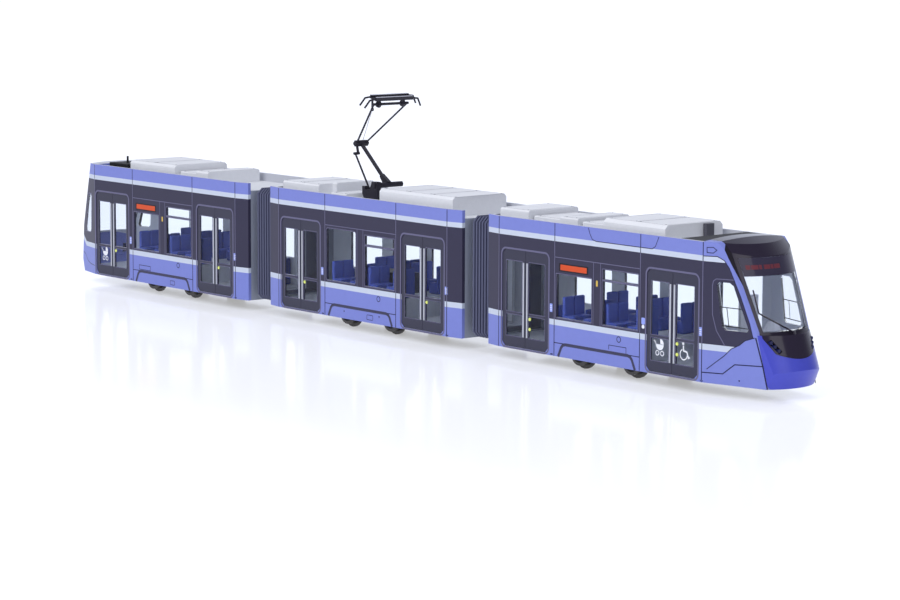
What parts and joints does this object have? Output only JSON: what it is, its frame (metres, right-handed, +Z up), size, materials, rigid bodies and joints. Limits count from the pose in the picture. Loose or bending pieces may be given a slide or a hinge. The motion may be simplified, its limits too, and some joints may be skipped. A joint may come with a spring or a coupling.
{
  "type": "model tram",
  "caption": "Three-section articulated low-floor tram as a 1:87 scale model, with turning wheels, swivelling bogies, hinged sections and a folding roof pantograph.",
  "frame": {"origin": "on the floor below the middle of the overall length, where the wheel flanges stand", "axes": "+X towards the driver's cab, -Y the side with the doors, +Z up"},
  "size_m": [0.3258, 0.0264, 0.0696],
  "materials": {
    "painted_side": "satin paint",
    "cab_blue": "satin paint",
    "roof_grey": "matt",
    "roof_gear_grey": "matt",
    "door_grey": "satin paint",
    "mask_black": "gloss",
    "tinted_glass": "clear",
    "windscreen_glass": "clear",
    "lamp_clear": "clear",
    "bellows_grey": "matt",
    "underframe_black": "matt",
    "seat_blue": "matt",
    "wheel_steel": "blackened",
    "motor_metal": "plain",
    "pantograph_black": "satin"
  },
  "bodies": {
    "middle_section": {"middle_wall_right": "painted_side", "middle_wall_left": "painted_side", "middle_roof": "roof_grey", "middle_floor": "underframe_black", "middle_glazing": "tinted_glass", "middle_doors": "door_grey", "middle_seats": "seat_blue", "middle_roof_gear": "roof_gear_grey", "middle_gangway_frames": "underframe_black", "middle_bellows": "bellows_grey", "pantograph_base": "pantograph_black", "motor": "motor_metal"},
    "front_section": {"front_wall_right": "painted_side", "front_wall_left": "painted_side", "front_roof": "roof_grey", "front_floor": "underframe_black", "front_glazing": "tinted_glass", "front_doors": "door_grey", "front_seats": "seat_blue", "front_roof_gear": "roof_gear_grey", "front_gangway_frame": "underframe_black", "front_bellows": "bellows_grey", "front_cab_shell": "cab_blue", "front_apron": "cab_blue", "front_mask": "mask_black", "front_roof_cover": "mask_black", "front_windscreen": "windscreen_glass", "front_lamps": "lamp_clear", "front_wiper": "underframe_black", "front_cab_fittings": "seat_blue", "front_post": "underframe_black"},
    "rear_section": {"rear_wall_right": "painted_side", "rear_wall_left": "painted_side", "rear_roof": "roof_grey", "rear_floor": "underframe_black", "rear_glazing": "tinted_glass", "rear_doors": "door_grey", "rear_seats": "seat_blue", "rear_roof_gear": "roof_gear_grey", "rear_gangway_frame": "underframe_black", "rear_tail_shell": "cab_blue", "rear_window": "windscreen_glass", "rear_lamps": "lamp_clear", "rear_aerial": "underframe_black"},
    "front_bogie": {"front_bogie_frame": "underframe_black"},
    "front_leading_wheels": {"front_wheelset_leading": "wheel_steel"},
    "front_trailing_wheels": {"front_wheelset_trailing": "wheel_steel"},
    "middle_bogie": {"middle_bogie_frame": "underframe_black"},
    "middle_leading_wheels": {"middle_wheelset_leading": "wheel_steel"},
    "middle_trailing_wheels": {"middle_wheelset_trailing": "wheel_steel"},
    "rear_bogie": {"rear_bogie_frame": "underframe_black"},
    "rear_leading_wheels": {"rear_wheelset_leading": "wheel_steel"},
    "rear_trailing_wheels": {"rear_wheelset_trailing": "wheel_steel"},
    "pantograph_lower_arm": {"pantograph_lower_arm": "pantograph_black"},
    "pantograph_upper_arm": {"pantograph_upper_arm": "pantograph_black"},
    "pantograph_tie_rod": {"pantograph_tie_rod": "pantograph_black"},
    "pantograph_head": {"pantograph_head": "pantograph_black"}
  },
  "joints": [
    {"name": "front_articulation", "type": "hinge", "parent": "middle_section", "child": "front_section", "pos_m": [0.0426, 0, 0.0032], "axis": [0, 0, 1], "range_deg": [-16, 16]},
    {"name": "rear_articulation", "type": "hinge", "parent": "middle_section", "child": "rear_section", "pos_m": [-0.0608, 0, 0.0032], "axis": [0, 0, 1], "range_deg": [-16, 16]},
    {"name": "front_bogie_swivel", "type": "hinge", "parent": "front_section", "child": "front_bogie", "pos_m": [0.09835, 0, 0.00445], "axis": [0, 0, 1], "range_deg": [-8, 8]},
    {"name": "middle_bogie_swivel", "type": "hinge", "parent": "middle_section", "child": "middle_bogie", "pos_m": [-0.00505, 0, 0.00445], "axis": [0, 0, 1], "range_deg": [-8, 8]},
    {"name": "rear_bogie_swivel", "type": "hinge", "parent": "rear_section", "child": "rear_bogie", "pos_m": [-0.10845, 0, 0.00445], "axis": [0, 0, 1], "range_deg": [-8, 8]},
    {"name": "front_leading_wheels_turn", "type": "hinge", "parent": "front_bogie", "child": "front_leading_wheels", "pos_m": [0.1087, 0, 0.00445], "axis": [0, 1, 0], "continuous": true},
    {"name": "front_trailing_wheels_turn", "type": "hinge", "parent": "front_bogie", "child": "front_trailing_wheels", "pos_m": [0.088, 0, 0.00445], "axis": [0, 1, 0], "continuous": true},
    {"name": "middle_leading_wheels_turn", "type": "hinge", "parent": "middle_bogie", "child": "middle_leading_wheels", "pos_m": [0.0053, 0, 0.00445], "axis": [0, 1, 0], "continuous": true},
    {"name": "middle_trailing_wheels_turn", "type": "hinge", "parent": "middle_bogie", "child": "middle_trailing_wheels", "pos_m": [-0.0154, 0, 0.00445], "axis": [0, 1, 0], "continuous": true},
    {"name": "rear_leading_wheels_turn", "type": "hinge", "parent": "rear_bogie", "child": "rear_leading_wheels", "pos_m": [-0.0981, 0, 0.00445], "axis": [0, 1, 0], "continuous": true},
    {"name": "rear_trailing_wheels_turn", "type": "hinge", "parent": "rear_bogie", "child": "rear_trailing_wheels", "pos_m": [-0.1188, 0, 0.00445], "axis": [0, 1, 0], "continuous": true},
    {"name": "pantograph_fold", "type": "hinge", "parent": "middle_section", "child": "pantograph_lower_arm", "pos_m": [-0.00845, 0, 0.0426], "axis": [0, -1, 0], "range_deg": [-10, 33]},
    {"name": "pantograph_knee", "type": "hinge", "parent": "pantograph_lower_arm", "child": "pantograph_upper_arm", "pos_m": [-0.02145, 0, 0.0541], "axis": [0, -1, 0], "range_deg": [-70.46, 21.7]},
    {"name": "pantograph_head_tilt", "type": "hinge", "parent": "pantograph_upper_arm", "child": "pantograph_head", "pos_m": [-0.00725, 0, 0.0667], "axis": [0, -1, 0], "range_deg": [-11.7, 37.46]},
    {"name": "pantograph_tie_turn", "type": "hinge", "parent": "middle_section", "child": "pantograph_tie_rod", "pos_m": [-0.01355, 0, 0.0407], "axis": [0, -1, 0], "range_deg": [-15.74, 50.79]}
  ],
  "couplings": [
    {"joint": "pantograph_knee", "follows": "pantograph_fold", "ratio": -2.12},
    {"joint": "pantograph_head_tilt", "follows": "pantograph_fold", "ratio": 1.12},
    {"joint": "pantograph_tie_turn", "follows": "pantograph_fold", "ratio": 1.524}
  ]
}
